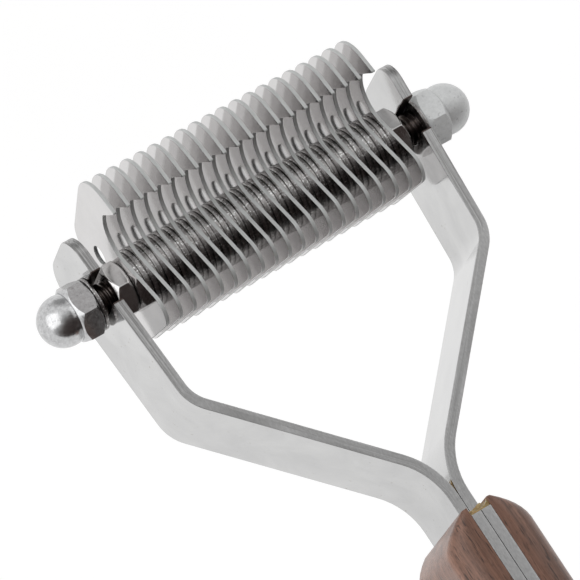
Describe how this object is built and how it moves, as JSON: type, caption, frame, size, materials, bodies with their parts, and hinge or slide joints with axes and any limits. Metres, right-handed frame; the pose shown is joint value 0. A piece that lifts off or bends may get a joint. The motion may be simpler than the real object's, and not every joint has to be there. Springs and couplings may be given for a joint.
{
  "type": "deshedding tool",
  "caption": "Deshedding rake: hooked steel blades spaced along a threaded rod, held in the open slots of two bent bars that run full length through a wooden handle.",
  "frame": {"origin": "centre of the hanging hole at the butt of the handle, midway between the two tangs", "axes": "+X along the hanging hole and the blades' rod towards the right arm, +Y along the handle towards the head, +Z towards the side the rod's slots open to"},
  "size_m": [0.0906, 0.1865, 0.0337],
  "materials": {
    "blade_steel": "satin",
    "washer_steel": "satin",
    "thread_steel": "satin",
    "nut_steel": "polished",
    "acorn_steel": "satin",
    "arm_steel": "satin",
    "pin_steel": "satin",
    "walnut": "oiled",
    "epoxy": "glossy"
  },
  "bodies": {
    "handle": {"left_arm": "arm_steel", "right_arm": "arm_steel", "left_handle_scale": "walnut", "right_handle_scale": "walnut", "handle_pins": "pin_steel", "hang_eyelet": "pin_steel", "epoxy_bead": "epoxy"},
    "rod": {"threaded_rod": "thread_steel"},
    "blade_pack": {"blade_01": "blade_steel", "blade_02": "blade_steel", "blade_03": "blade_steel", "blade_04": "blade_steel", "blade_05": "blade_steel", "blade_06": "blade_steel", "blade_07": "blade_steel", "blade_08": "blade_steel", "blade_09": "blade_steel", "blade_10": "blade_steel", "blade_11": "blade_steel", "blade_12": "blade_steel", "blade_13": "blade_steel", "blade_14": "blade_steel", "blade_15": "blade_steel", "blade_16": "blade_steel", "blade_17": "blade_steel", "blade_18": "blade_steel", "blade_19": "blade_steel", "blade_20": "blade_steel", "spacer_pair_01": "washer_steel", "spacer_pair_02": "washer_steel", "spacer_pair_03": "washer_steel", "spacer_pair_04": "washer_steel", "spacer_pair_05": "washer_steel", "spacer_pair_06": "washer_steel", "spacer_pair_07": "washer_steel", "spacer_pair_08": "washer_steel", "spacer_pair_09": "washer_steel", "spacer_pair_10": "washer_steel", "spacer_pair_11": "washer_steel", "spacer_pair_12": "washer_steel", "spacer_pair_13": "washer_steel", "spacer_pair_14": "washer_steel", "spacer_pair_15": "washer_steel", "spacer_pair_16": "washer_steel", "spacer_pair_17": "washer_steel", "spacer_pair_18": "washer_steel", "spacer_pair_19": "washer_steel", "left_inner_nut": "nut_steel", "right_inner_nut": "nut_steel"},
    "left_washer": {"left_outer_washer": "nut_steel"},
    "left_acorn": {"left_acorn_nut": "acorn_steel"},
    "right_washer": {"right_outer_washer": "nut_steel"},
    "right_acorn": {"right_acorn_nut": "acorn_steel"}
  },
  "joints": [
    {"name": "rod_lift", "type": "slide", "parent": "handle", "child": "rod", "axis": [0, 0, 1], "range_m": [0, 0.03]},
    {"name": "blade_pack_turn", "type": "hinge", "parent": "rod", "child": "blade_pack", "pos_m": [0, 0.157, 0.0024], "axis": [1, 0, 0], "continuous": true},
    {"name": "left_washer_shift", "type": "slide", "parent": "rod", "child": "left_washer", "axis": [-1, 0, 0], "range_m": [0, 0.005]},
    {"name": "left_acorn_unscrew", "type": "hinge", "parent": "left_washer", "child": "left_acorn", "pos_m": [-0.0345, 0.157, 0.0024], "axis": [-1, 0, 0], "range_deg": [0, 1801]},
    {"name": "right_washer_shift", "type": "slide", "parent": "rod", "child": "right_washer", "axis": [1, 0, 0], "range_m": [0, 0.005]},
    {"name": "right_acorn_unscrew", "type": "hinge", "parent": "right_washer", "child": "right_acorn", "pos_m": [0.0345, 0.157, 0.0024], "axis": [1, 0, 0], "range_deg": [0, 1801]}
  ],
  "couplings": [
    {"joint": "left_acorn_unscrew", "follows": "left_washer_shift", "rad_per_m": 6283.2},
    {"joint": "right_acorn_unscrew", "follows": "right_washer_shift", "rad_per_m": 6283.2}
  ]
}
